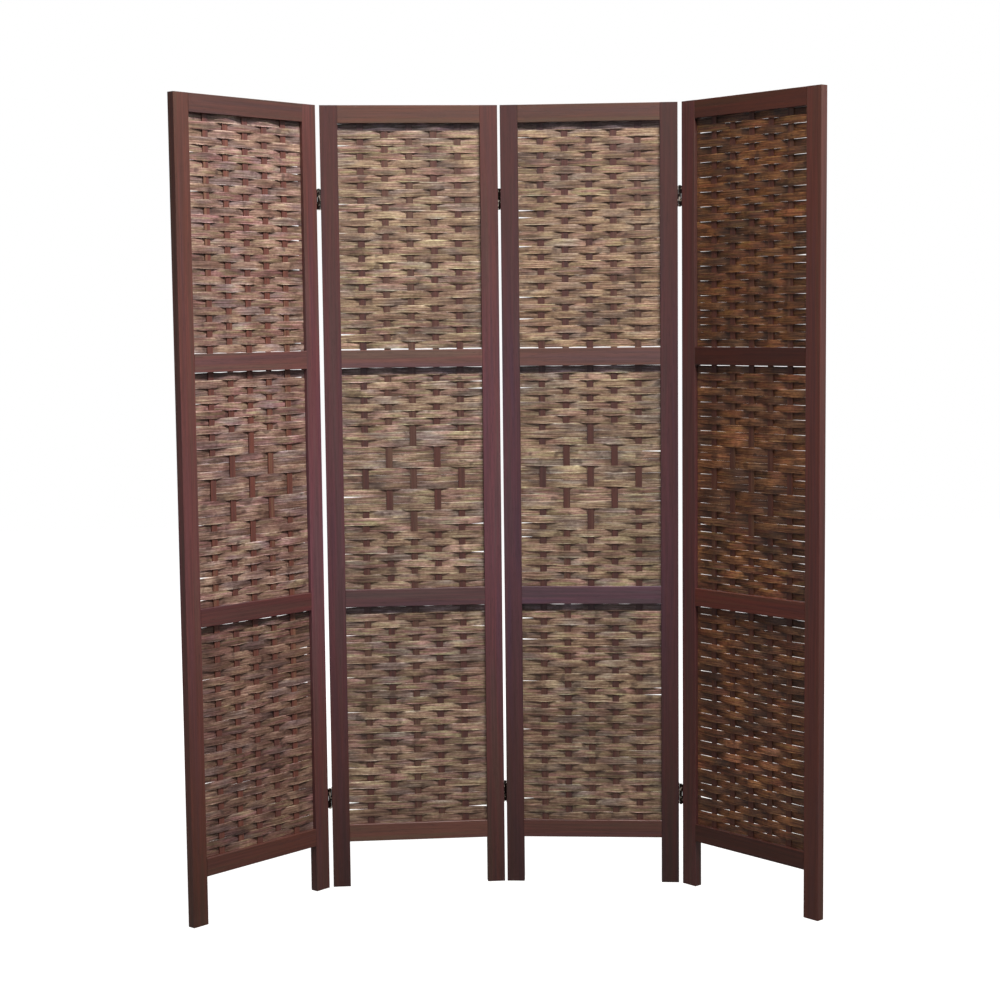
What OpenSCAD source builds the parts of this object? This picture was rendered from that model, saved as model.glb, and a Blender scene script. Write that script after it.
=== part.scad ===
// Four-panel folding screen: hardwood frames with woven strip infill, folded into a shallow C.
// Millimetres, +Z up, fronts towards -Y, origin on the floor at the middle of the footprint.

/* [Panel] */
// Height of a panel from the floor
panel_h = 1790; // [1700:10:1900]
// Width of a panel
panel_w = 400; // [360:5:440]
// Thickness of the frame
frame_t = 20; // [19:1:24]
// Width of a stile, which also makes the leg
stile_w = 40; // [36:1:46]
// Height of a rail
rail_w = 40; // [36:1:46]
// Clear height of the legs under the bottom rail
leg_h = 106; // [90:1:120]
// Eased edge along the stiles and rails
edge_ease = 0.8; // [0.4:0.1:1.2]

/* [Frame joints] */
// Length of a rail tenon
tenon_l = 25; // [20:1:28]
// Thickness of a rail tenon
tenon_t = 8; // [6:0.5:9]
// Shoulder above and below a tenon
tenon_shoulder = 5; // [4:0.5:7]
// Clearance of a tenon and of a slat in its slot, on each side
joint_clear = 0.1; // [0.05:0.05:0.2]
// Depth of the groove that holds the weave
groove_d = 9; // [7:0.5:11]

/* [Weave] */
// Upright slats in each opening
stake_count = 5; // [3:2:5]
// Spacing of the upright slats
stake_pitch = 55; // [50:1:56]
// Width of an upright slat
stake_w = 15; // [12:0.5:18]
// Thickness of an upright slat
stake_t = 2; // [1.6:0.1:3]
// Strips woven across each opening
weft_rows = 31; // [27:2:35]
// Thickness of a strip
weft_t = 0.8; // [0.6:0.1:1.2]
// Light slit between neighbouring strips
weft_slit = 0.5; // [0.3:0.1:1.5]
// Gap between the outermost strips and the rails
weave_margin = 2; // [1:0.5:6]
// Gap between a strip and the slat it passes
weave_gap = 0.1; // [0.05:0.05:0.3]
// Straight run of a strip past the edge of a slat
weft_lead = 1; // [0.5:0.5:3]
// Rows from the middle of the diamond to its tips
diamond_rows = 6; // [4:2:8]

/* [Hinges] */
// Gap between neighbouring panels when they lie in one plane
panel_gap = 9; // [8.5:0.1:10]
// Distance of the pin axis from the face of the frame
pin_proud = 1; // [0.8:0.1:1.4]
// Length of a hinge
hinge_h = 45; // [40:1:56]
// Distance from the top of the panel to the middle of the upper hinge
hinge_top = 209; // [180:1:260]
// Distance from the floor to the middle of the lower hinge
hinge_low = 210; // [190:1:240]
// Length of the middle knuckle
knuckle_mid = 10; // [8:0.5:16]
// Gap between neighbouring knuckles
knuckle_gap = 0.2; // [0.1:0.05:0.4]
// Thickness of a hinge leaf
leaf_t = 1.4; // [1.2:0.1:1.4]
// Depth of a hinge leaf on the edge of the stile
leaf_d = 15; // [13:0.5:16]
// Clearance between a knuckle and the other leaf
barrel_clear = 0.1; // [0.05:0.05:0.2]
// Radius of the hinge pin
pin_r = 1.5; // [1.2:0.1:1.5]
// Running clearance round the pin
pin_clear = 0.05; // [0.02:0.01:0.08]
// Height of a pin head
pin_head_h = 1.2; // [0.8:0.1:2]
// Radius of a screw shank
screw_r = 1.4; // [1.2:0.1:1.6]
// Radius of a countersunk screw head
screw_head_r = 2.8; // [2.4:0.1:3.2]
// Length of a screw
screw_l = 14; // [10:0.5:14]
// Distance of each screw from the middle of the hinge
screw_off = 13; // [11:0.5:15]
// Distance of the screws from the front edge of the leaf
screw_set = 8; // [6:0.5:9]
// Clearance round the screws
screw_clear = 0.05; // [0.02:0.01:0.1]

/* [Rest pose] */
// Forward fold between the first and second panels
angle_left = 42.6; // [20:0.1:60]
// Forward fold between the second and third panels
angle_middle = 9.2; // [4:0.1:9.6]
// Forward fold between the third and fourth panels
angle_right = 44.6; // [20:0.1:60]

/* [Hidden] */
PANELS = [1, 2, 3, 4];
LINES = ["12", "23", "34"];
$fn = 48;
eps = 0.01;

// The three openings, counted from the bottom, and the rails between them
opening_count = 3;
last_rail = opening_count;
section_h = (panel_h - leg_h - (last_rail + 1) * rail_w) / opening_count;
open_w = panel_w - 2 * stile_w;
mid_y = frame_t / 2;
function rail_z(i) = leg_h + i * (rail_w + section_h);
function section_z(i) = rail_z(i) + rail_w;

// The weave
slot_t = stake_t + 2 * joint_clear;
weft_pitch = (section_h - 2 * weave_margin) / weft_rows;
weft_wave = (stake_t + weft_t) / 2 + weave_gap;
stake_seat = groove_d - joint_clear;
function stake_x(j) = panel_w / 2 + (j - (stake_count + 1) / 2) * stake_pitch;

// A slat shows where the strip passes behind it: a plain weave, with a diamond in the middle opening
function stake_shows(section, row, j) =
    let (d = abs(row - (weft_rows + 1) / 2), plain = (row + j) % 2 == 0)
    section != 1 || d > diamond_rows ? plain
    : d == diamond_rows ? j == (stake_count + 1) / 2
    : d % (diamond_rows / 2) == 0 ? !plain
    : plain;

// Hinges
barrel_r = panel_gap / 2 - leaf_t - barrel_clear;
bore_r = pin_r + pin_clear;
knuckle_end = (hinge_h - knuckle_mid) / 2 - knuckle_gap;
pin_span = hinge_h + 2 * knuckle_gap;
pin_head_r = barrel_r - knuckle_gap;
hinge_z = [hinge_low, panel_h - hinge_top];
screw_y = barrel_r - leaf_t + screw_set;

// Plan of the screen, worked out from the middle hinge line
function along(a) = [cos(a), sin(a)];
function behind(a) = [-sin(a), cos(a)];
turn = [angle_middle / 2 + angle_left, angle_middle / 2, -angle_middle / 2, -angle_middle / 2 - angle_right];
half_gap = panel_gap / 2;
corner_2 = -along(turn[1]) * (half_gap + panel_w) - behind(turn[1]) * (pin_proud + frame_t);
corner_3 = along(turn[2]) * half_gap - behind(turn[2]) * (pin_proud + frame_t);
pin_12 = corner_2 - along(turn[1]) * half_gap - behind(turn[1]) * pin_proud;
pin_34 = corner_3 + along(turn[2]) * (panel_w + half_gap) - behind(turn[2]) * pin_proud;
corner_1 = pin_12 - along(turn[0]) * (half_gap + panel_w) + behind(turn[0]) * pin_proud;
corner_4 = pin_34 + along(turn[3]) * half_gap + behind(turn[3]) * pin_proud;
corner = [corner_1, corner_2, corner_3, corner_4];
outline = [for (k = [0:3], p = eased(panel_w, frame_t))
    corner[k] + along(turn[k]) * p[0] + behind(turn[k]) * p[1]];
left = min([for (p = outline) p[0]]);
right = max([for (p = outline) p[0]]);
front = min([for (p = outline) p[1]]);
rear = max(barrel_r, max([for (p = outline) p[1]]));
centre = [(left + right) / 2, (front + rear) / 2];
// The three pin axes and the front left corner of each panel
echo(pins = [pin_12 - centre, -centre, pin_34 - centre], corners = [for (c = corner) c - centre]);

// A rectangle with its four corners eased
function eased(w, t, e = edge_ease) =
    [[e, 0], [w - e, 0], [w, e], [w, t - e], [w - e, t], [e, t], [0, t - e], [0, e]];

// Puts a piece of panel k in its place in the screen
module placed(k) {
    p = corner[k - 1] - centre;
    translate([p[0], p[1], 0]) rotate(turn[k - 1]) children();
}

// Countersunk screw, driven towards +X, with its head flush at X = 0
module screw_body(grow) {
    rotate([0, 90, 0]) {
        cylinder(h = leaf_t, r1 = screw_head_r + grow, r2 = screw_r + grow);
        cylinder(h = screw_l + grow, r = screw_r + grow);
    }
}

// Each screw of the leaves on one edge of a panel, in the panel's own frame
module at_screws(side, rear_barrel) {
    edge_x = side == "left" ? -leaf_t : panel_w + leaf_t;
    y = rear_barrel ? frame_t + pin_proud - screw_y : screw_y - pin_proud;
    for (z = hinge_z, s = [-1, 1])
        translate([edge_x, y, z + s * screw_off]) mirror([side == "left" ? 0 : 1, 0, 0]) children();
}

// True where the edge of panel k carries hinges, and where their barrels are at the back
function hinged(k, side) = side == "left" ? k > 1 : k < 4;
function at_rear(k, side) = (side == "left" && k == 3) || (side == "right" && k == 2);

module stile(k, side) {
    inner = side == "left" ? 1 : -1;
    color("#5f332c") placed(k) difference() {
        translate([side == "left" ? 0 : panel_w - stile_w, 0, 0])
            linear_extrude(panel_h) polygon(eased(stile_w, frame_t));
        // Groove for the ends of the strips
        translate([side == "left" ? stile_w - groove_d : panel_w - stile_w,
                   mid_y - slot_t / 2, section_z(0) - groove_d])
            cube([groove_d, slot_t, rail_z(last_rail) - section_z(0) + 2 * groove_d]);
        // Mortises for the rails
        for (i = [0:last_rail])
            translate([(side == "left" ? stile_w : panel_w - stile_w) - inner * (tenon_l + joint_clear) / 2,
                       mid_y, rail_z(i) + rail_w / 2])
                cube([tenon_l + joint_clear, tenon_t + 2 * joint_clear,
                      rail_w - 2 * tenon_shoulder + 2 * joint_clear], center = true);
        if (hinged(k, side)) at_screws(side, at_rear(k, side)) screw_body(screw_clear);
    }
}

// The groove along a rail that takes the ends of the slats
module slat_groove() {
    translate([stile_w - eps, mid_y - slot_t / 2, 0]) cube([open_w + 2 * eps, slot_t, groove_d + eps]);
}

module rail(k, i) {
    color("#643730") placed(k) translate([0, 0, rail_z(i)]) difference() {
        union() {
            translate([stile_w, 0, 0]) rotate([90, 0, 90])
                linear_extrude(open_w) polygon(eased(frame_t, rail_w));
            translate([stile_w - tenon_l, mid_y - tenon_t / 2, tenon_shoulder])
                cube([open_w + 2 * tenon_l, tenon_t, rail_w - 2 * tenon_shoulder]);
        }
        // Grooves for the slats, below and above
        if (i > 0) translate([0, 0, -eps]) slat_groove();
        if (i < last_rail) translate([0, 0, rail_w - groove_d]) slat_groove();
    }
}

module stakes(k) {
    color("#74483c") placed(k) for (i = [0:opening_count - 1], j = [1:stake_count])
        translate([stake_x(j) - stake_w / 2, mid_y - stake_t / 2, section_z(i) - stake_seat])
            cube([stake_w, stake_t, section_h + 2 * stake_seat]);
}

// Centre line of one strip: into the groove at each end, and past each slat on its front or its back
function weft_line(section, row) =
    let (end = stile_w - groove_d + joint_clear, flat = stake_w / 2 + weft_lead)
    concat([[end, 0], [stile_w, 0]],
           [for (j = [1:stake_count], s = [-1, 1])
               [stake_x(j) + s * flat, stake_shows(section, row, j) ? weft_wave : -weft_wave]],
           [[panel_w - stile_w, 0], [panel_w - end, 0]]);

module weft(section, row) {
    line = weft_line(section, row);
    last = len(line) - 1;
    points = concat([for (p = line) [p[0], p[1] - weft_t / 2]],
                    [for (n = [0:last]) [line[last - n][0], line[last - n][1] + weft_t / 2]]);
    translate([0, mid_y, section_z(section) + weave_margin + (row - 1) * weft_pitch + weft_slit / 2])
        linear_extrude(weft_pitch - weft_slit) polygon(points);
}

module weave(k, section) {
    color("#a98a66") placed(k) for (row = [1:weft_rows]) weft(section, row);
}

// One leaf, on the pin axis, with its plate on the +X side and the stile's face at Y = pin_proud
module leaf(outer) {
    spans = outer ? [[0, knuckle_end], [hinge_h - knuckle_end, knuckle_end]]
                  : [[knuckle_end + knuckle_gap, knuckle_mid]];
    translate([0, 0, -hinge_h / 2]) difference() {
        union() {
            translate([half_gap - leaf_t, barrel_r - leaf_t, 0]) cube([leaf_t, leaf_d, hinge_h]);
            for (s = spans) translate([0, 0, s[0]]) {
                cylinder(h = s[1], r = barrel_r);
                translate([0, barrel_r - leaf_t, 0]) cube([half_gap - eps, leaf_t, s[1]]);
            }
        }
        translate([0, 0, -eps]) cylinder(h = hinge_h + 2 * eps, r = bore_r);
    }
}

// The two leaves on one edge of panel k
module leaves(k, side, outer) {
    rear_barrel = at_rear(k, side);
    color("#3a2c20") placed(k) difference() {
        for (z = hinge_z)
            translate([side == "left" ? -half_gap : panel_w + half_gap,
                       rear_barrel ? frame_t + pin_proud : -pin_proud, z])
                mirror([side == "left" ? 0 : 1, 0, 0]) mirror([0, rear_barrel ? 1 : 0, 0]) leaf(outer);
        at_screws(side, rear_barrel) screw_body(screw_clear);
    }
}

module screws(k, side) {
    color("#4a3a2a") placed(k) at_screws(side, at_rear(k, side)) screw_body(0);
}

// The two pins of a hinge line, beside the edge of panel k, held by a head at each end
module pins(k, side) {
    color("#44341f") placed(k) for (z = hinge_z)
        translate([side == "left" ? -half_gap : panel_w + half_gap,
                   at_rear(k, side) ? frame_t + pin_proud : -pin_proud, z - pin_span / 2]) {
            cylinder(h = pin_span, r = pin_r);
            for (end = [-pin_head_h, pin_span])
                translate([0, 0, end]) cylinder(h = pin_head_h, r = pin_head_r);
        }
}

for (k = PANELS) {
    stile(k, "left");
    stile(k, "right");
    rail(k, last_rail);
    rail(k, 2);
    rail(k, 1);
    rail(k, 0);
    stakes(k);
    weave(k, 2);
    weave(k, 1);
    weave(k, 0);
}
for (i = [0:2]) {
    h = LINES[i];
    leaves(i + 1, "right", i != 2);
    leaves(i + 2, "left", i == 2);
    pins(i + 1, "right");
    screws(i + 1, "right");
    screws(i + 2, "left");
}
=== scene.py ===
import math

import bpy
from mathutils import Matrix, Vector


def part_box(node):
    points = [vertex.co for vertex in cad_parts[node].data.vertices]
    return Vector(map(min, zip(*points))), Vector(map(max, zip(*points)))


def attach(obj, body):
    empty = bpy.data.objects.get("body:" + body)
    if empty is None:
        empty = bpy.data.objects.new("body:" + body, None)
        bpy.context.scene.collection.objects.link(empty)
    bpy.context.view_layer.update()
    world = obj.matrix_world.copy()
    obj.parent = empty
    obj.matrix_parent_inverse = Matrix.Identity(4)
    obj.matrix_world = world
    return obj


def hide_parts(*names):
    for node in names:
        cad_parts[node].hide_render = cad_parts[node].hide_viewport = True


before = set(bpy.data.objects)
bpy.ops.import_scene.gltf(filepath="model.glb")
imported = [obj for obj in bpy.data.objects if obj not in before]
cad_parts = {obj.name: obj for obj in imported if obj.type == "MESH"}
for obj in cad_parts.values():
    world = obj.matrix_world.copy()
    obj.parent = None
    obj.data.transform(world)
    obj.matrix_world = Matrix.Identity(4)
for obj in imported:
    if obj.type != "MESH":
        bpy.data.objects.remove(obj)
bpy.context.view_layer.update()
print("frame loaded,", len(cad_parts), "nodes")


class Graph:
    # Adds nodes to a tree; a value may be a number or another node's socket
    def __init__(self, tree):
        self.tree = tree

    def feed(self, socket, value):
        if isinstance(value, bpy.types.NodeSocket):
            self.tree.links.new(value, socket)
        else:
            socket.default_value = value

    def add(self, kind, values=None, **settings):
        node = self.tree.nodes.new(kind)
        for name, value in settings.items():
            setattr(node, name, value)
        for key, value in (values or {}).items():
            self.feed(node.inputs[key], value)
        return node

    def calc(self, operation, *values):
        return self.add("ShaderNodeMath", dict(enumerate(values)), operation=operation).outputs[0]

    def vector(self, x=0.0, y=0.0, z=0.0):
        return self.add("ShaderNodeCombineXYZ", {"X": x, "Y": y, "Z": z}).outputs[0]

    def noise(self, vector, detail=2.0, roughness=0.5, distortion=0.0, scale=1.0):
        return self.add("ShaderNodeTexNoise", {"Vector": vector, "Scale": scale, "Detail": detail,
                                               "Roughness": roughness, "Distortion": distortion}).outputs[0]

    def random(self, vector):
        return self.add("ShaderNodeTexWhiteNoise", {"Vector": vector}).outputs["Value"]

    def span(self, value, low, high, toLow=0.0, toHigh=1.0, smooth=False):
        kind = "SMOOTHSTEP" if smooth else "LINEAR"
        return self.add("ShaderNodeMapRange", {"Value": value, "From Min": low, "From Max": high,
                                               "To Min": toLow, "To Max": toHigh},
                        interpolation_type=kind).outputs[0]


def newGroup(name, inputs, outputs):
    tree = bpy.data.node_groups.new(name, "GeometryNodeTree")
    for label, kind in outputs.items():
        tree.interface.new_socket(name=label, in_out="OUTPUT", socket_type="NodeSocket" + kind)
    for label, kind in inputs.items():
        tree.interface.new_socket(name=label, in_out="INPUT", socket_type="NodeSocket" + kind)
    graph = Graph(tree)
    given = graph.add("NodeGroupInput").outputs
    return graph, {label: given[label] for label in inputs}, graph.add("NodeGroupOutput").inputs


panelNumbers = (1, 2, 3, 4)


def boxCentre(node):
    low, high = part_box(node)
    return (low + high) / 2


def stileCentres(number):
    return [boxCentre(f"panel_{number}_{side}_stile") for side in ("left", "right")]


def panelTurn(number):
    # The way a panel's width points, seen from above
    left, right = stileCentres(number)
    return math.atan2(right.y - left.y, right.x - left.x)


def panelPlace(number):
    # Where a panel stands: x runs along it, y to its back and z up, from the middle of its foot
    left, right = stileCentres(number)
    middle = (left + right) / 2
    return Matrix.Translation((middle.x, middle.y, 0)) @ Matrix.Rotation(panelTurn(number), 4, "Z")


def colour(code):
    # Hex code, as seen on a screen, to the renderer's own scale
    parts = [int(code[i:i + 2], 16) / 255 for i in (0, 2, 4)]
    return tuple(p / 12.92 if p < 0.04045 else ((p + 0.055) / 1.055) ** 2.4 for p in parts) + (1.0,)


def lightened(code, times):
    # times is one number, or one for each of red, green and blue
    factors = times if isinstance(times, tuple) else (times, times, times)
    return tuple(part * factor for part, factor in zip(colour(code), factors)) + (1.0,)


weave = {
    "rows": 31,  # strips in each opening
    "length": 0.3376, "thickness": 0.001,  # one strip
    "pieces": 66, "pointsAcross": 5,  # how finely its mesh is divided along it and across it
    "slats": 5, "slatPitch": 0.055, "flat": 0.008,  # the slats, and half of each strip's flat over one
    "bend": 1.1,  # how soon the strips leave a slat
    "slit": 0.0001, "slitSpread": 0.0002,  # between two strips: everywhere, and what the ripple adds
    "wander": 0.0006, "tilt": 0.0005, "cup": 0.0003,  # how far edges stray, strips lean and strips crown
    "endGap": 0.003, "endReach": 0.06,  # how far an open end stands open, and how far from the stile
    "evenGap": 0.001, "bottomEven": 0.6,  # the same of every second end, and its share in the bottom opening
    "crease": 0.7,  # folds sharper than this angle aren't smoothed
    "diamond": 6,  # rows from the middle of the diamond to its tip
}
# The noise in the lines between strips and in the strips' lean: how often in a metre, and how strong
lineNoise = {
    "drift": (9.0, 4.0), "ripple": (26.0, 1.6), "lean": (7.0, 4.0),
    "lineStep": 3.71,  # from one line to the next
    "rippleSeed": 40.0, "leanSeed": 80.0,  # apart from the drift's own
    "slitFrom": 0.45, "slitTimes": 5.0,  # where the ripple starts to open a slit, and how fast
}
sameNumber = 0.1  # how near two whole numbers are when they count as the same
openings = {"bottom": ("bottom_rail", "lower_rail"), "middle": ("lower_rail", "upper_rail"),
            "top": ("upper_rail", "top_rail")}
margins = {"bottom": (0.0004, 0.0016), "middle": (0.0004, 0.0008), "top": (0.0012, 0.0003)}  # below and above
# For each panel: the depth of the strips' wave, how far a strip in front covers the one below it beside a
# slat, the same above it, how far a strip behind goes under its neighbours, the shares of the strips' left
# and right ends that stand open, how far every second end does, what is added to the margin below the top
# opening's strips and above the others', and how much closer the strips of the bottom opening lie
panelWeave = {
    1: {"wave": 0.0024, "lapBelow": 0.0005, "lapAbove": 0.0006, "tuck": 0.0008, "open": (0.1, 0.2),
        "regular": 0.0, "low": 0.0, "high": 0.001, "closer": 0.0},
    2: {"wave": 0.002, "lapBelow": 0.0003, "lapAbove": 0.0004, "tuck": 0.0005, "open": (0.16, 0.06),
        "regular": 0.0, "low": 0.0016, "high": 0.0, "closer": 0.0},
    3: {"wave": 0.002, "lapBelow": 0.0003, "lapAbove": 0.0004, "tuck": 0.0005, "open": (0.2, 0.03),
        "regular": 0.0, "low": 0.001, "high": 0.0, "closer": 0.0},
    4: {"wave": 0.0025, "lapBelow": 0.0003, "lapAbove": 0.0003, "tuck": 0.0, "open": (0.1, 0.1),
        "regular": 0.9, "low": -0.0008, "high": 0.0008, "closer": 0.00015},
}
rowStep, seedStep = 5.17, 1.37  # how far apart two rows and two seeds are in a strip's own number


def seedOf(number, opening):
    return 10.0 * number + list(openings).index(opening)


def crossingGroup():
    # 1 where a strip passes in front of a slat, -1 where it passes behind, 0 past the outer slats
    graph, given, result = newGroup("crossing", {"Row": "Float", "Slat": "Float", "Rows": "Float",
                                                 "Slats": "Float", "Diamond": "Float"}, {"Side": "Float"})
    calc = graph.calc
    odd = calc("FLOORED_MODULO", calc("ADD", given["Row"], given["Slat"]), 2.0)
    plain = calc("SUBTRACT", calc("MULTIPLY", odd, 2.0), 1.0)
    middleRow = calc("MULTIPLY", calc("ADD", given["Rows"], 1.0), 0.5)
    away = calc("ABSOLUTE", calc("SUBTRACT", given["Row"], middleRow))
    step = calc("MODULO", away, calc("MAXIMUM", calc("MULTIPLY", given["Diamond"], 0.5), 0.001))
    inDiamond = calc("LESS_THAN", away, calc("SUBTRACT", given["Diamond"], 0.5))
    flipped = calc("MULTIPLY", inDiamond, calc("COMPARE", step, 0.0, sameNumber))
    turned = calc("MULTIPLY", plain, calc("SUBTRACT", 1.0, calc("MULTIPLY", flipped, 2.0)))
    atTip = calc("MULTIPLY", calc("COMPARE", away, given["Diamond"], sameNumber),
                 calc("GREATER_THAN", given["Diamond"], 0.5))
    middleSlat = calc("MULTIPLY", calc("ADD", given["Slats"], 1.0), 0.5)
    atMiddle = calc("COMPARE", given["Slat"], middleSlat, sameNumber)
    tip = calc("SUBTRACT", 1.0, calc("MULTIPLY", atMiddle, 2.0))
    side = calc("ADD", calc("MULTIPLY", turned, calc("SUBTRACT", 1.0, atTip)), calc("MULTIPLY", tip, atTip))
    inside = calc("MULTIPLY", calc("GREATER_THAN", given["Slat"], 0.5),
                  calc("LESS_THAN", given["Slat"], calc("ADD", given["Slats"], 0.5)))
    graph.feed(result["Side"], calc("MULTIPLY", side, inside))
    return graph.tree


def sideGroup(crossing):
    # The same side at any place along a strip, with a smooth change between two slats
    names = ("Row", "X", "Rows", "Slats", "Slat Pitch", "Flat", "Bend", "Diamond")
    graph, given, result = newGroup("side", dict.fromkeys(names, "Float"), {"Side": "Float"})
    calc = graph.calc
    middle = calc("MULTIPLY", calc("ADD", given["Slats"], 1.0), 0.5)
    place = calc("ADD", calc("DIVIDE", given["X"], given["Slat Pitch"]), middle)
    before = calc("FLOOR", place)
    flat = calc("DIVIDE", given["Flat"], given["Slat Pitch"])
    change = graph.span(calc("SUBTRACT", place, before), flat, calc("SUBTRACT", 1.0, flat), -1.0, 1.0)
    eased = calc("MULTIPLY", calc("SIGN", change), calc("POWER", calc("ABSOLUTE", change), given["Bend"]))
    sides = [graph.add("GeometryNodeGroup", {"Row": given["Row"], "Slat": slat, "Rows": given["Rows"],
                                             "Slats": given["Slats"], "Diamond": given["Diamond"]},
                       node_tree=crossing).outputs["Side"] for slat in (before, calc("ADD", before, 1.0))]
    middleSide = calc("MULTIPLY", calc("ADD", sides[0], sides[1]), 0.5)
    step = calc("MULTIPLY", calc("SUBTRACT", sides[1], sides[0]), calc("MULTIPLY", eased, 0.5))
    graph.feed(result["Side"], calc("ADD", middleSide, step))
    return graph.tree


def edgeGroup():
    # The line between two strips: its height and how far it stands open
    names = ("Edge", "X", "Rows", "Height", "Margin Below", "Margin Above", "Length", "Slit", "Slit Spread",
             "Wander", "End Gap", "End Reach", "Left Share", "Right Share", "Even Gap", "Odd", "Seed")
    graph, given, result = newGroup("edge", dict.fromkeys(names, "Float"), {"Line": "Float", "Gap": "Float"})
    calc = graph.calc
    bothMargins = calc("ADD", given["Margin Below"], given["Margin Above"])
    pitch = calc("DIVIDE", calc("SUBTRACT", given["Height"], bothMargins), given["Rows"])
    level = calc("ADD", given["Margin Below"], calc("MULTIPLY", given["Edge"], pitch))
    key = calc("MULTIPLY", given["Edge"], lineNoise["lineStep"])
    driftOften, driftStrong = lineNoise["drift"]
    rippleOften, rippleStrong = lineNoise["ripple"]
    rippleSeed = calc("ADD", given["Seed"], lineNoise["rippleSeed"])
    driftPlace = graph.vector(calc("MULTIPLY", given["X"], driftOften), key, given["Seed"])
    ripplePlace = graph.vector(calc("MULTIPLY", given["X"], rippleOften), key, rippleSeed)
    drift, ripple = graph.noise(driftPlace, detail=1.0), graph.noise(ripplePlace, detail=2.0)
    wandering = calc("ADD", calc("MULTIPLY", calc("SUBTRACT", drift, 0.5), driftStrong),
                     calc("MULTIPLY", calc("SUBTRACT", ripple, 0.5), rippleStrong))
    graph.feed(result["Line"], calc("ADD", level, calc("MULTIPLY", wandering, given["Wander"])))
    spread = calc("MULTIPLY", calc("MAXIMUM", calc("SUBTRACT", ripple, lineNoise["slitFrom"]), 0.0),
                  calc("MULTIPLY", given["Slit Spread"], lineNoise["slitTimes"]))
    gap = calc("ADD", given["Slit"], spread)
    half = calc("MULTIPLY", given["Length"], 0.5)
    for end, share in ((-1.0, "Left Share"), (1.0, "Right Share")):  # the strips' free ends beside each stile
        chance = graph.random(graph.vector(given["Edge"], calc("ADD", given["Seed"], end), 0.5))
        opened = graph.span(chance, calc("SUBTRACT", 1.0, given[share]), 1.0)
        fromEnd = calc("SUBTRACT", half, calc("MULTIPLY", given["X"], end))
        near = graph.span(fromEnd, 0.0, given["End Reach"], 1.0, 0.0, smooth=True)
        gap = calc("ADD", gap, calc("MULTIPLY", calc("MULTIPLY", opened, near), given["End Gap"]))
        everySecond = calc("COMPARE", calc("FLOORED_MODULO", given["Edge"], 2.0), given["Odd"], sameNumber)
        gap = calc("ADD", gap, calc("MULTIPLY", calc("MULTIPLY", everySecond, near), given["Even Gap"]))
    graph.feed(result["Gap"], gap)
    return graph.tree


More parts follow.
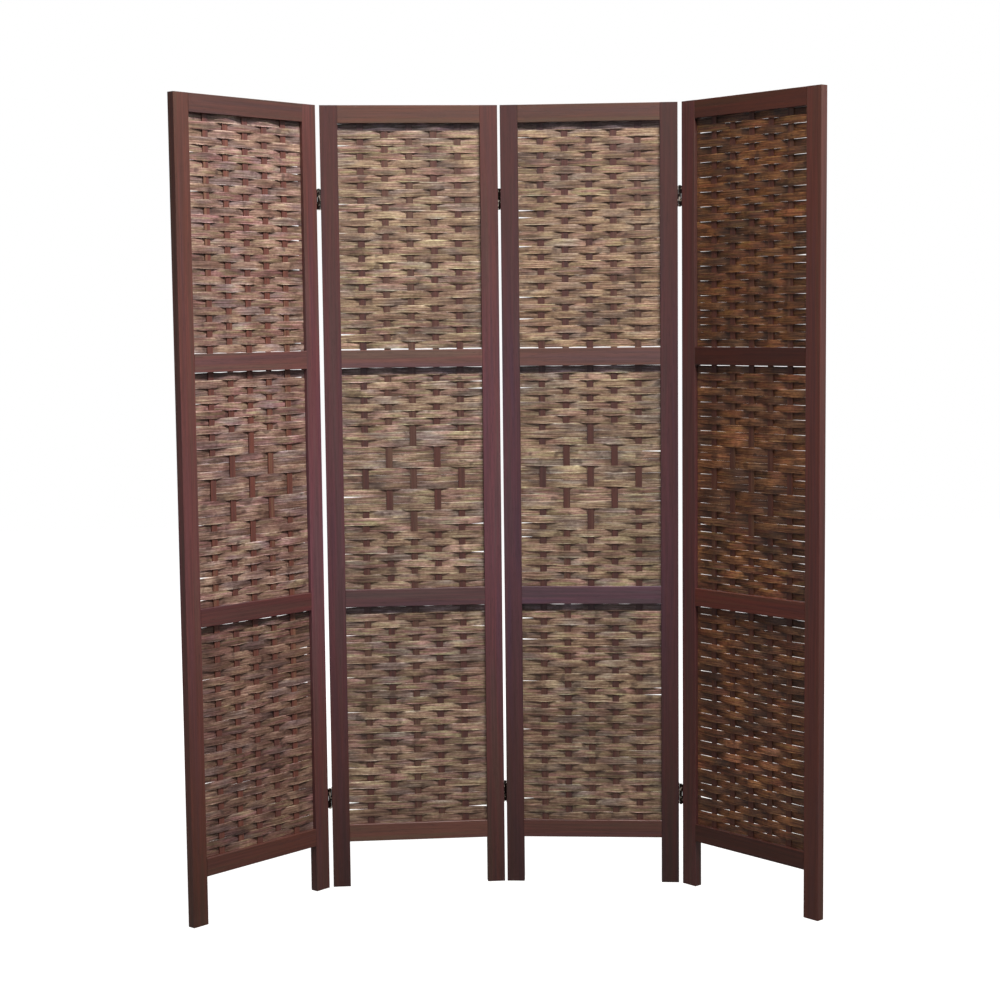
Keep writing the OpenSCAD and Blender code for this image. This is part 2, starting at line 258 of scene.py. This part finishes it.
def wovenTree():
    # The strips of one opening, from flat bands to their woven shape
    sizes = ("Height", "Margin Below", "Margin Above", "Length", "Thickness", "Rows", "Slats", "Slat Pitch",
             "Flat", "Bend", "Wave", "Lap Below", "Lap Above", "Tuck", "Slit", "Slit Spread", "Wander",
             "Tilt", "Cup", "End Gap", "End Reach", "Left Share", "Right Share", "Even Gap", "Odd",
             "Diamond", "Seed")
    inputs = {**dict.fromkeys(sizes, "Float"), "Material": "Material"}
    graph, given, result = newGroup("woven opening", inputs, {"Geometry": "Geometry"})
    calc = graph.calc
    rowLine = graph.add("GeometryNodeMeshLine", {"Count": weave["rows"], "Offset": (0, 0, 0)})
    counted = graph.add("GeometryNodeStoreNamedAttribute",
                        {"Geometry": rowLine.outputs[0], "Name": "row",
                         "Value": calc("ADD", graph.add("GeometryNodeInputIndex").outputs[0], 1.0)},
                        data_type="FLOAT", domain="POINT")
    band = graph.vector(given["Length"], given["Thickness"], 2.0)  # -1 to 1 across, until its edges are set
    strip = graph.add("GeometryNodeMeshCube", {"Size": band, "Vertices X": weave["pieces"] + 1,
                                               "Vertices Y": 2, "Vertices Z": weave["pointsAcross"]})
    strips = graph.add("GeometryNodeInstanceOnPoints",
                       {"Points": counted.outputs[0], "Instance": strip.outputs["Mesh"]})
    flatStrips = graph.add("GeometryNodeRealizeInstances", {"Geometry": strips.outputs[0]}).outputs[0]

    row = graph.add("GeometryNodeInputNamedAttribute", {"Name": "row"},
                    data_type="FLOAT").outputs["Attribute"]
    place = graph.add("ShaderNodeSeparateXYZ", {"Vector": graph.add("GeometryNodeInputPosition").outputs[0]})
    x, depth, across = place.outputs
    side, edge = sideGroup(crossingGroup()), edgeGroup()
    rule = {name: given[name] for name in ("Rows", "Slats", "Slat Pitch", "Flat", "Bend", "Diamond")}
    sides = [graph.add("GeometryNodeGroup", {"Row": calc("ADD", row, step), "X": x, **rule},
                       node_tree=side).outputs["Side"] for step in (-1.0, 0.0, 1.0)]
    lines = {name: given[name] for name in ("Rows", "Height", "Margin Below", "Margin Above", "Length",
                                            "Slit", "Slit Spread", "Wander", "End Gap", "End Reach",
                                            "Left Share", "Right Share", "Even Gap", "Odd", "Seed")}
    heights = []
    borders = ((-1.0, sides[0], "Lap Below", 1.0), (0.0, sides[2], "Lap Above", -1.0))
    for step, neighbour, lap, sign in borders:
        border = graph.add("GeometryNodeGroup", {"Edge": calc("ADD", row, step), "X": x, **lines},
                           node_tree=edge)
        ahead = calc("MULTIPLY", calc("SUBTRACT", sides[1], neighbour), 0.5)
        covered = calc("ADD", calc("MULTIPLY", calc("MAXIMUM", ahead, 0.0), given[lap]),
                       calc("MULTIPLY", calc("MAXIMUM", calc("MULTIPLY", ahead, -1.0), 0.0), given["Tuck"]))
        inward = calc("SUBTRACT", calc("MULTIPLY", border.outputs["Gap"], 0.5), covered)
        heights.append(calc("ADD", border.outputs["Line"], calc("MULTIPLY", inward, sign)))
    upward = calc("MULTIPLY", calc("ADD", across, 1.0), 0.5)
    height = calc("ADD", heights[0], calc("MULTIPLY", calc("SUBTRACT", heights[1], heights[0]), upward))

    rowKey = calc("MULTIPLY", row, rowStep)
    leanOften, leanStrong = lineNoise["lean"]
    leanSeed = calc("ADD", given["Seed"], lineNoise["leanSeed"])
    lean = graph.noise(graph.vector(calc("MULTIPLY", x, leanOften), rowKey, leanSeed), detail=1.0)
    tilted = calc("MULTIPLY", calc("MULTIPLY", calc("SUBTRACT", lean, 0.5), across),
                  calc("MULTIPLY", given["Tilt"], leanStrong))
    crown = calc("MULTIPLY", calc("SUBTRACT", 1.0, calc("MULTIPLY", across, across)), given["Cup"])
    forward = calc("ADD", crown, calc("MULTIPLY", sides[1], given["Wave"]))
    back = calc("SUBTRACT", calc("ADD", depth, tilted), forward)

    seedKey = calc("ADD", rowKey, calc("MULTIPLY", given["Seed"], seedStep))
    onStrip = graph.vector(x, across, seedKey)
    marked = graph.add("GeometryNodeStoreNamedAttribute",
                       {"Geometry": flatStrips, "Name": "stripPlace", "Value": onStrip},
                       data_type="FLOAT_VECTOR", domain="POINT")
    # Front and back faces each get the side that is outward for them
    outward = calc("MULTIPLY", sides[1], calc("SIGN", calc("MULTIPLY", depth, -1.0)))
    sided = graph.add("GeometryNodeStoreNamedAttribute",
                      {"Geometry": marked.outputs[0], "Name": "stripSide", "Value": outward},
                      data_type="FLOAT", domain="POINT")
    shaped = graph.add("GeometryNodeSetPosition",
                       {"Geometry": sided.outputs[0], "Position": graph.vector(x, back, height)})
    smooth = graph.add("GeometryNodeSetShadeSmooth", {"Geometry": shaped.outputs[0], "Shade Smooth": True},
                       domain="FACE")
    bend = graph.add("GeometryNodeInputMeshEdgeAngle").outputs["Unsigned Angle"]
    crisp = graph.add("GeometryNodeSetShadeSmooth",
                      {"Geometry": smooth.outputs[0],
                       "Selection": calc("GREATER_THAN", bend, weave["crease"]), "Shade Smooth": False},
                      domain="EDGE")
    joined = graph.add("GeometryNodeRealizeInstances", {"Geometry": crisp.outputs[0]})
    finished = graph.add("GeometryNodeSetMaterial",
                         {"Geometry": joined.outputs[0], "Material": given["Material"]})
    graph.feed(result["Geometry"], finished.outputs[0])
    return graph.tree


def plainMesh(piece):
    # Turns the evaluated modifiers into the piece's own mesh
    view = bpy.context.evaluated_depsgraph_get()
    made = bpy.data.meshes.new_from_object(piece.evaluated_get(view), preserve_all_data_layers=True,
                                           depsgraph=view)
    piece.modifiers.clear()
    piece.data = made
    return made


def makeWeave(tree, number, opening, material):
    below, above = (f"panel_{number}_{rail}" for rail in openings[opening])
    floor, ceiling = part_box(below)[1].z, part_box(above)[0].z
    marginBelow, marginAbove = margins[opening]
    own = panelWeave[number]
    closer = own["closer"] if opening == "bottom" else 0
    evenGap = own["regular"] * weave["evenGap"] * (weave["bottomEven"] if opening == "bottom" else 1.0)
    values = {
        "Height": ceiling - floor,
        "Margin Below": marginBelow + (own["low"] if opening == "top" else 0),
        "Margin Above": marginAbove + (own["high"] if opening != "top" else 0),
        "Length": weave["length"], "Thickness": weave["thickness"], "Rows": weave["rows"],
        "Slats": weave["slats"], "Slat Pitch": weave["slatPitch"], "Flat": weave["flat"],
        "Bend": weave["bend"], "Wave": own["wave"], "Lap Below": own["lapBelow"] + closer,
        "Lap Above": own["lapAbove"] + closer, "Tuck": own["tuck"] + closer,
        "Slit": weave["slit"], "Slit Spread": weave["slitSpread"], "Wander": weave["wander"],
        "Tilt": weave["tilt"], "Cup": weave["cup"],
        "End Gap": weave["endGap"], "End Reach": weave["endReach"],
        "Left Share": own["open"][0], "Right Share": own["open"][1],
        "Even Gap": evenGap, "Odd": opening == "top",
        "Diamond": weave["diamond"] if opening == "middle" else 0,
        "Seed": seedOf(number, opening), "Material": material,
    }
    name = f"strips_{number}_{opening}"
    piece = bpy.data.objects.new(name, bpy.data.meshes.new(name))
    bpy.context.scene.collection.objects.link(piece)
    modifier = piece.modifiers.new("weave", "NODES")
    modifier.node_group = tree
    for item in tree.interface.items_tree:
        if item.in_out == "INPUT":
            kept = values[item.name]
            modifier[item.identifier] = kept if item.socket_type == "NodeSocketMaterial" else float(kept)
    mesh = plainMesh(piece)
    mesh.transform(panelPlace(number) @ Matrix.Translation((0, 0, floor)))
    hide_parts(f"panel_{number}_weave_{opening}")
    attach(piece, f"panel_{number}")


def newMaterial(name):
    material = bpy.data.materials.new(name)
    material.use_nodes = True
    material.node_tree.nodes.clear()
    graph = Graph(material.node_tree)
    shader = graph.add("ShaderNodeBsdfPrincipled")
    graph.add("ShaderNodeOutputMaterial", {"Surface": shader.outputs[0]})
    return material, graph, shader


def mixed(graph, share, first, second, blend="MIX"):
    node = graph.add("ShaderNodeMix", {"Factor": share}, data_type="RGBA", blend_type=blend)
    graph.feed(node.inputs[6], first)
    graph.feed(node.inputs[7], second)
    return node.outputs[2]


stripLook = {
    "tan": "a78f70", "olive": "948860", "pink": "a67c70", "grey": "877d75", "knot": "4a3428",
    "tanShare": (0.1, 0.9), "greyShare": 0.6, "knotShare": 0.65,  # how much of these a strip can have
    # Darkest and lightest, times the colour
    "fibres": (0.56, 1.42), "mottle": (0.84, 1.16), "bands": (0.62, 1.32), "strips": (0.78, 1.2),
    "edge": 1.85, "recessShade": 0.84,  # along an edge, rubbed pale with a painted highlight; behind a slat, painted shade
    "covered": 0.28,  # painted shadow just under the strip above, where this one lies behind
    "fade": (1.22, 1.28),  # how much faster than its red its green and blue darken
    "fibreShares": (0.55, 0.45),  # of the coarse and of the fine fibres
    "draws": (7.0, 19.0),  # for a strip's own hue and its own lightness
    "cloudScale": 11.0,
    "roughness": (0.6, 0.45), "specular": 0.6, "relief": 0.0003,
}
# How often each noise changes along a strip and across it, its own shift, and its detail and roughness
# where they aren't the usual ones
stripNoise = {
    "warm": (18.0, 1.5, 31.0), "faded": (9.0, 0.3, 12.0), "coarse": (13.0, 3.0, 0.0, 1.0),
    "fine": (44.0, 7.0, 5.0, 2.0, 0.6), "mottle": (150.0, 1.8, 71.0), "band": (13.0, 0.25, 3.0),
    "wearAndHighlight": (24.0, 0.4, 50.0), "knot": (34.0, 0.35, 60.0),
}
# Where in its noise, across the strip or by the strip's side each feature starts and where it is full
stripSpan = {
    "warm": (0.4, 0.6), "faded": (0.5, 0.66), "fibre": (0.41, 0.59), "mottle": (0.36, 0.64),
    "band": (0.34, 0.66), "wearAndHighlight": (0.46, 0.56), "knot": (0.58, 0.7), "cloud": (0.4, 0.6),
    "rimWearAndHighlight": (0.76, 0.94), "upperHalf": (0.35, 0.9), "recessShade": (-0.9, 0.3), "behind": (0.1, -0.5),
}
# For each panel: the tints of the cloudy patches over its strips; panel 4's are darker and more orange,
# partly the strips' own colour and partly painted shade
stripTint = {1: ("dacbe0", "f0e4f4"), 2: ("dad3d9", "f2ecf1"), 3: ("d0c9cb", "e6dddf"),
             4: ("8c6b54", "b48661")}
# How light each opening's strips are painted, in red, green and blue: partly their own tone, partly painted
# light and shade (darker low on panel 1, lighter on panel 4)
openingPaintedLight = {
    1: {"bottom": (0.76, 0.7, 0.69), "middle": (0.99, 0.97, 1.01), "top": (0.98, 0.98, 0.98)},
    2: {"bottom": (1.01, 1.0, 1.05), "middle": (1.02, 1.03, 1.06), "top": (0.97, 0.97, 0.96)},
    3: {"bottom": (1.02, 1.02, 1.05), "middle": (1.07, 1.1, 1.12), "top": (0.92, 0.88, 0.86)},
    4: {"bottom": (1.14, 1.18, 1.4), "middle": (1.15, 1.22, 1.44), "top": (0.96, 0.99, 1.0)},
}
# The painted shadow that each rail casts on the row under it, and how strongly on each panel
railShadowPaint = {
    "height": 0.0175, "soft": 0.003,  # how far down it goes, and over what height it fades
    "above": (0.02, 0.01),  # where it fades again inside the rail
    "tint": (0.5, 0.5, 0.75, 1.0),  # times the colour of strips and slats
}
railShadowStrength = {1: 0.4, 2: 1.0, 3: 1.0, 4: 0.6}


def rowInRailShadow(graph, number, rails):
    # How much of the rails' painted shadow a spot has: all of it in the row under a rail
    spot = graph.add("ShaderNodeTexCoord").outputs["Object"]
    height = graph.add("ShaderNodeSeparateXYZ", {"Vector": spot}).outputs["Z"]
    share = 0.0
    for rail in rails:
        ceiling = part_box(f"panel_{number}_{rail}")[0].z
        foot = ceiling - railShadowPaint["height"]
        inRow = graph.calc("MULTIPLY", graph.span(height, foot, foot + railShadowPaint["soft"]),
                           graph.span(height, *(ceiling + rise for rise in railShadowPaint["above"])))
        share = graph.calc("ADD", share, inRow)
    return graph.calc("MULTIPLY", share, railShadowStrength[number])


# Two rows low on panel 4 are paler and rosier where they pass in front of the second and the fourth slat
paleStrips = {
    "panel": 4, "opening": "bottom", "rows": (11, 13),
    "sameStrip": 0.5,  # how near two strips' own numbers are when they are one strip's
    "reach": (0.042, 0.03), "front": (-0.1, 0.5),  # from none to all: away from the slat, and by the side
    "tint": (1.9, 2.0, 2.35),
}


def paleShare(graph, x, key, side):
    # Where the pale strips are: 1 on them, 0 elsewhere
    own = 0.0
    for row in paleStrips["rows"]:
        rowKey = row * rowStep + seedOf(paleStrips["panel"], paleStrips["opening"]) * seedStep
        own = graph.calc("ADD", own, graph.calc("COMPARE", key, rowKey, paleStrips["sameStrip"]))
    beside = graph.calc("ABSOLUTE", graph.calc("SUBTRACT", graph.calc("ABSOLUTE", x), weave["slatPitch"]))
    near = graph.calc("MULTIPLY", graph.span(beside, *paleStrips["reach"]),
                      graph.span(side, *paleStrips["front"]))
    return graph.calc("MULTIPLY", own, near)


def stripMaterial(number, opening):
    material, graph, shader = newMaterial(f"{opening}Strips{number}")
    calc = graph.calc
    place = graph.add("ShaderNodeAttribute", attribute_name="stripPlace").outputs["Vector"]
    x, across, key = graph.add("ShaderNodeSeparateXYZ", {"Vector": place}).outputs

    def streaks(name):
        along, over, shift, *rest = stripNoise[name]
        return graph.noise(graph.vector(calc("MULTIPLY", x, along), calc("MULTIPLY", across, over),
                                        calc("ADD", key, shift)), *rest)

    def feature(name, *ends, smooth=False):
        return graph.span(streaks(name), *stripSpan[name], *ends, smooth=smooth)

    hueDraw, lightDraw = (graph.random(graph.vector(key, draw, 0.0)) for draw in stripLook["draws"])
    warm = mixed(graph, feature("warm"), colour(stripLook["olive"]), colour(stripLook["pink"]))
    body = mixed(graph, graph.span(hueDraw, 0.0, 1.0, *stripLook["tanShare"]), warm, colour(stripLook["tan"]))
    faded = mixed(graph, feature("faded", 0.0, stripLook["greyShare"]), body, colour(stripLook["grey"]))
    fibres = [calc("MULTIPLY", streaks(name), share)
              for name, share in zip(("coarse", "fine"), stripLook["fibreShares"])]
    fibre = graph.span(calc("ADD", *fibres), *stripSpan["fibre"])
    texture = calc("MULTIPLY", graph.span(fibre, 0.0, 1.0, *stripLook["fibres"]),
                   feature("mottle", *stripLook["mottle"]))
    band = calc("MULTIPLY", feature("band", *stripLook["bands"]),
                graph.span(lightDraw, 0.0, 1.0, *stripLook["strips"]))
    # The edges of a strip are lightened in patches: rubbed pale, and a painted highlight along them
    wearAndHighlight = calc("MULTIPLY", graph.span(calc("ABSOLUTE", across), *stripSpan["rimWearAndHighlight"]), feature("wearAndHighlight"))
    rimWearAndHighlight = graph.span(wearAndHighlight, 0.0, 1.0, 1.0, stripLook["edge"])
    side = graph.add("ShaderNodeAttribute", attribute_name="stripSide").outputs["Fac"]
    # Painted shade: darker where the strip lies behind a slat, and a painted shadow over its upper part
    # there, as if cast by the strip in front above it
    recessShade = graph.span(side, *stripSpan["recessShade"], stripLook["recessShade"], 1.0, smooth=True)
    under = calc("MULTIPLY", graph.span(side, *stripSpan["behind"]),
                 graph.span(across, *stripSpan["upperHalf"]))
    shade = calc("MULTIPLY", recessShade, graph.span(under, 0.0, 1.0, 1.0, stripLook["covered"]))
    value = calc("MULTIPLY", calc("MULTIPLY", texture, band), calc("MULTIPLY", rimWearAndHighlight, shade))
    green, blue = (calc("POWER", value, fade) for fade in stripLook["fade"])
    toned = mixed(graph, 1.0, faded, graph.vector(value, green, blue), "MULTIPLY")
    dark = mixed(graph, feature("knot", 0.0, stripLook["knotShare"], smooth=True), toned,
                 colour(stripLook["knot"]))
    spot = graph.add("ShaderNodeTexCoord").outputs["Object"]
    cloud = graph.span(graph.noise(spot, scale=stripLook["cloudScale"]), *stripSpan["cloud"])
    tint = mixed(graph, cloud, *(lightened(code, openingPaintedLight[number][opening]) for code in stripTint[number]))
    tinted = mixed(graph, 1.0, dark, tint, "MULTIPLY")
    if (number, opening) == (paleStrips["panel"], paleStrips["opening"]):
        pale = paleShare(graph, x, key, side)
        tinted = mixed(graph, pale, tinted, paleStrips["tint"] + (1.0,), "MULTIPLY")
    # The row under the rail above is darkened as painted shadow
    railShadow = rowInRailShadow(graph, number, openings[opening][1:])
    graph.feed(shader.inputs["Base Color"], mixed(graph, railShadow, tinted, railShadowPaint["tint"], "MULTIPLY"))
    graph.feed(shader.inputs["Roughness"], graph.span(fibre, 0.0, 1.0, *stripLook["roughness"]))
    graph.feed(shader.inputs["Specular IOR Level"], stripLook["specular"])
    bump = graph.add("ShaderNodeBump", {"Strength": 1.0, "Distance": stripLook["relief"], "Height": fibre})
    graph.feed(shader.inputs["Normal"], bump.outputs[0])
    return material


frameLook = {
    "dark": "3c2220", "red": "613632", "brown": "583a33", "purple": "553336", "pore": "241412",
    "roughness": 0.42,
    # Painted shade near the floor, painted light and a bluish painted reflection halfway up, and painted
    # shade at the top of a stile, times the colour
    "foot": (0.67, 0.7, 0.63), "middleLight": (1.3, 1.42, 1.95), "crown": (0.8, 0.76, 0.68),
}
slatLook = {
    "dark": "5a3832", "red": "875246", "brown": "96705a", "purple": "6f4844", "pore": "3a2620",
    "roughness": 0.5,
}
# The grain's features: their sizes across it and along it, and their detail, roughness and distortion
grain = {
    "figure": {"sizes": (0.005, 0.22), "noise": (4.0, 0.6, 0.6)},
    "pores": {"sizes": (0.0007, 0.02), "noise": (2.0, 0.5)},
    "broad": {"sizes": (0.016, 0.5), "noise": (2.0, 0.5, 0.3)},
}
# Where in its noise each feature starts and is full, and how much of its colour it gives there
woodSpan = {"red": (0.3, 0.5), "brown": (0.52, 0.66), "lines": (0.35, 0.62), "pores": (0.58, 0.72),
            "shine": (0.3, 0.7)}
woodShare = {"lines": (0.55, 0.0), "pores": (0.0, 0.6)}
woodSurface = {"shine": (0.1, -0.05), "specular": 0.5, "strength": 0.5, "relief": 0.0002}
# The heights at which the painted shade at a stile's foot, the painted light in its middle and the painted
# shade at its crown start and are full; the third pair is the upper end of the middle's
stileLightHeights = {"foot": (0.3, 0.04), "middleLight": (0.3, 0.75), "middleLightEnd": (1.55, 0.85), "crown": (1.35, 1.75)}
# For each panel: the tint and the lightness of each part's wood, set part by part to how that part looks lit,
# so partly the wood's own tone and partly painted light and shade (panel 4's darker parts are painted shade),
# and how strongly its stiles take the painted light and shade up their height
woodTintAndPaintedLight = {
    1: {"left": ("fff9e3", 1.14), "right": ("f4f7ff", 1.41), "top": ("fbffee", 0.83),
        "upper": ("e1fbff", 1.97), "lower": ("f8f2ff", 1.21), "bottom": ("fffde7", 0.97),
        "slats": ("f6eeec", 0.8), "change": 1.0},
    2: {"left": ("fff9ff", 0.85), "right": ("faf9ff", 1.03), "top": ("eaffe1", 1.24),
        "upper": ("e0fffc", 2.08), "lower": ("cce9ff", 1.75), "bottom": ("e9ffed", 1.7),
        "slats": ("f4f0f6", 0.47), "change": 1.0},
    3: {"left": ("eef0ff", 0.82), "right": ("fff5f9", 0.61), "top": ("ebffe6", 1.12),
        "upper": ("dcfff6", 1.88), "lower": ("b2d2ff", 2.37), "bottom": ("f5fff5", 1.18),
        "slats": ("f0ecf0", 0.47), "change": 1.0},
    4: {"left": ("fdfaff", 0.94), "right": ("fff1da", 1.05), "top": ("ffe2b3", 0.69),
        "upper": ("ffdfc7", 0.52), "lower": ("ffe4d1", 1.17), "bottom": ("ffe6c6", 0.58),
        "slats": ("fff0e0", 0.42), "change": 0.3},
}


def woodMaterial(name, look, number, flat, part):
    # Grain runs up a stile and along a rail
    turn = panelTurn(number)
    tint, lighten = woodTintAndPaintedLight[number][part]
    material, graph, shader = newMaterial(name)
    spot = graph.add("ShaderNodeTexCoord").outputs["Object"]

    def feature(kind):
        small, long = grain[kind]["sizes"]
        size = (long, small, small) if flat else (small, small, long)
        stretched = graph.add("ShaderNodeMapping", {"Vector": spot, "Rotation": (0, 0, turn), "Scale": size},
                              vector_type="TEXTURE").outputs[0]
        return graph.noise(stretched, *grain[kind]["noise"])

    figure, pores, broad = feature("figure"), feature("pores"), feature("broad")
    rosy = mixed(graph, graph.span(broad, *woodSpan["red"]), colour(look["purple"]), colour(look["red"]))
    hue = mixed(graph, graph.span(broad, *woodSpan["brown"]), rosy, colour(look["brown"]))
    lined = mixed(graph, graph.span(figure, *woodSpan["lines"], *woodShare["lines"]), hue,
                  colour(look["dark"]))
    pored = mixed(graph, graph.span(pores, *woodSpan["pores"], *woodShare["pores"]), lined,
                  colour(look["pore"]))
    tinted = mixed(graph, 1.0, pored, lightened(tint, lighten), "MULTIPLY")
    # Up a stile the wood is painted darker at its foot and its crown as painted shade, and lighter and bluer
    # halfway up as painted light and reflection
    if look is frameLook and not flat:
        rise = graph.add("ShaderNodeSeparateXYZ", {"Vector": spot}).outputs["Z"]
        foot, upward, downward, crown = (graph.span(rise, *stileLightHeights[height])
                                         for height in ("foot", "middleLight", "middleLightEnd", "crown"))
        halfway = graph.calc("MULTIPLY", upward, downward)
        for share, cast in ((foot, look["foot"]), (halfway, look["middleLight"]), (crown, look["crown"])):
            amount = graph.calc("MULTIPLY", share, woodTintAndPaintedLight[number]["change"])
            tinted = mixed(graph, amount, tinted, cast + (1.0,), "MULTIPLY")
    if part == "slats":
        # The slats are darkened in the row under each rail as painted shadow
        railShadow = rowInRailShadow(graph, number, [rails[1] for rails in openings.values()])
        tinted = mixed(graph, railShadow, tinted, railShadowPaint["tint"], "MULTIPLY")
    graph.feed(shader.inputs["Base Color"], tinted)
    ends = (look["roughness"] + change for change in woodSurface["shine"])
    graph.feed(shader.inputs["Roughness"], graph.span(figure, *woodSpan["shine"], *ends))
    graph.feed(shader.inputs["Specular IOR Level"], woodSurface["specular"])
    relief = graph.calc("SUBTRACT", figure, graph.span(pores, *woodSpan["pores"]))
    bump = graph.add("ShaderNodeBump", {"Strength": woodSurface["strength"],
                                        "Distance": woodSurface["relief"], "Height": relief})
    graph.feed(shader.inputs["Normal"], bump.outputs[0])
    return material


metalLook = {
    "base": "2c2522", "wearAndHighlight": "d6cabb", "roughness": (0.5, 0.3),
    "wearAndGlintNoise": (3.0, 0.55), "wearAndGlintScale": 130.0,
    "wearAndGlintSpan": (0.55, 0.62), "shineSpan": (0.3, 0.7),  # where in the noise the light spots and the shine show
}


def hingeMaterial():
    material, graph, shader = newMaterial("agedBronze")
    spot = graph.add("ShaderNodeTexCoord").outputs["Object"]
    wearAndGlint = graph.noise(spot, *metalLook["wearAndGlintNoise"], scale=metalLook["wearAndGlintScale"])
    # The light spots are bronze rubbed bright and a painted glint at once
    metal = mixed(graph, graph.span(wearAndGlint, *metalLook["wearAndGlintSpan"]), colour(metalLook["base"]),
                  colour(metalLook["wearAndHighlight"]))
    graph.feed(shader.inputs["Base Color"], metal)
    graph.feed(shader.inputs["Metallic"], 1.0)
    graph.feed(shader.inputs["Roughness"],
               graph.span(wearAndGlint, *metalLook["shineSpan"], *metalLook["roughness"]))
    return material


def dress(node, material):
    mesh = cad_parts[node].data
    mesh.materials.clear()
    mesh.materials.append(material)


tree = wovenTree()
bronze = hingeMaterial()
for number in panelNumbers:
    for part in ("left", "right"):
        wood = woodMaterial(f"{part}Stile{number}", frameLook, number, False, part)
        dress(f"panel_{number}_{part}_stile", wood)
    for part in ("top", "upper", "lower", "bottom"):
        wood = woodMaterial(f"{part}Rail{number}", frameLook, number, True, part)
        dress(f"panel_{number}_{part}_rail", wood)
    dress(f"panel_{number}_stakes", woodMaterial(f"slats{number}", slatLook, number, False, "slats"))
    for opening in openings:
        makeWeave(tree, number, opening, stripMaterial(number, opening))
    print("panel", number, "dressed and woven")
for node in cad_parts:
    if node.startswith("hinge_"):
        dress(node, bronze)
print("hinges dressed")

room = {
    "floorSize": 16.0, "floorColour": "787674", "floorRoughness": 0.9, "floorSpecular": 0.1,
    "glow": (0.94, 1.0), "glowReach": (1.0, 2.2),  # near the screen and far from it
    "ambient": 0.05, "ambientColour": "eef2ff",
    "mirrored": (0.25, 0.75), "mirroredFrom": (-0.8, 0.5),  # on the left and on the right
}


def makeFloor():
    half = room["floorSize"] / 2
    mesh = bpy.data.meshes.new("floor")
    corners = [(-half, -half, 0), (half, -half, 0), (half, half, 0), (-half, half, 0)]
    mesh.from_pydata(corners, [], [(0, 1, 2, 3)])
    floor = bpy.data.objects.new("floor", mesh)
    bpy.context.scene.collection.objects.link(floor)
    material, graph, shader = newMaterial("paleFloor")
    graph.feed(shader.inputs["Base Color"], colour(room["floorColour"]))
    graph.feed(shader.inputs["Roughness"], room["floorRoughness"])
    graph.feed(shader.inputs["Specular IOR Level"], room["floorSpecular"])
    seen = graph.add("ShaderNodeLightPath").outputs["Is Camera Ray"]
    spot = graph.add("ShaderNodeTexCoord").outputs["Object"]
    away = graph.add("ShaderNodeVectorMath", {0: spot}, operation="LENGTH").outputs["Value"]
    glow = graph.span(away, *room["glowReach"], *room["glow"], smooth=True)
    graph.feed(shader.inputs["Emission Color"], (1, 1, 1, 1))
    graph.feed(shader.inputs["Emission Strength"], graph.calc("MULTIPLY", seen, glow))
    mesh.materials.append(material)


def makeWorld():
    world = bpy.data.worlds.new("studio")
    bpy.context.scene.world = world
    world.use_nodes = True
    world.node_tree.nodes.clear()
    graph = Graph(world.node_tree)
    path = graph.add("ShaderNodeLightPath").outputs
    way = graph.add("ShaderNodeSeparateXYZ", {"Vector": graph.add("ShaderNodeTexCoord").outputs["Generated"]})
    glossy = graph.span(way.outputs["X"], *room["mirroredFrom"], *room["mirrored"])
    plain = graph.calc("MAXIMUM", path["Is Camera Ray"], path["Is Transmission Ray"])
    shown = graph.calc("MAXIMUM", plain, path["Is Glossy Ray"])
    lit = graph.span(path["Is Glossy Ray"], 0.0, 1.0, 1.0, glossy)
    strength = graph.span(shown, 0.0, 1.0, room["ambient"], lit)
    tint = mixed(graph, shown, colour(room["ambientColour"]), (1, 1, 1, 1))
    background = graph.add("ShaderNodeBackground", {"Color": tint, "Strength": strength})
    graph.add("ShaderNodeOutputWorld", {"Surface": background.outputs[0]})


lamps = {
    "ceiling": {"at": (0.9, -1.55, 4.15), "aim": (0.2, 0.1, 0.9), "size": (1.8, 0.3), "power": 210.0,
                "colour": "fffbf6"},
    "side": {"at": (4.0, -0.7, 2.6), "aim": (0.0, 0.0, 1.3), "size": (1.2, 1.8), "power": 8.0,
             "colour": "ffffff"},
    "front": {"at": (0.8, -5.5, 2.2), "aim": (0.0, 0.0, 1.1), "size": (2.4, 1.4), "power": 6.0,
              "colour": "fbfbff"},
    "left": {"at": (-3.2, -3.2, 1.2), "aim": (0.0, 0.0, 0.8), "size": (1.5, 1.8), "power": 28.0,
             "colour": "fbfbff"},
    "back": {"at": (-1.2, 3.4, 3.7), "aim": (0.0, 0.1, 0.9), "size": (2.4, 1.0), "power": 210.0,
             "colour": "fffdfa"},
}


def makeLamp(name, lamp):
    data = bpy.data.lights.new(name, "AREA")
    data.shape = "RECTANGLE"
    data.size, data.size_y = lamp["size"]
    data.energy = lamp["power"]
    data.color = colour(lamp["colour"])[:3]
    holder = bpy.data.objects.new(name, data)
    bpy.context.scene.collection.objects.link(holder)
    holder.location = lamp["at"]
    holder.rotation_euler = (Vector(lamp["aim"]) - Vector(lamp["at"])).to_track_quat("-Z", "Y").to_euler()


camera = {"at": (-0.04495, -4.31096, 1.31212), "yaw": 0.57, "pitch": 5.3324, "roll": -0.6049,
          "lens": 70.294, "sensor": 36.0}


def makeCamera():
    yaw, pitch, roll = (math.radians(camera[name]) for name in ("yaw", "pitch", "roll"))
    look = Vector((math.sin(yaw) * math.cos(pitch), math.cos(yaw) * math.cos(pitch), -math.sin(pitch)))
    level = Vector((math.cos(yaw), -math.sin(yaw), 0))
    upright = level.cross(look)
    right = math.cos(roll) * level + math.sin(roll) * upright
    up = right.cross(look)
    data = bpy.data.cameras.new("camera")
    data.lens, data.sensor_width = camera["lens"], camera["sensor"]
    holder = bpy.data.objects.new("camera", data)
    bpy.context.scene.collection.objects.link(holder)
    holder.matrix_world = Matrix.Translation(camera["at"]) @ Matrix((right, up, -look)).transposed().to_4x4()
    bpy.context.scene.camera = holder


makeFloor()
makeWorld()
for name, lamp in lamps.items():
    makeLamp(name, lamp)
makeCamera()
bpy.context.scene.view_settings.view_transform = "Standard"
print("floor, lamps and camera set")
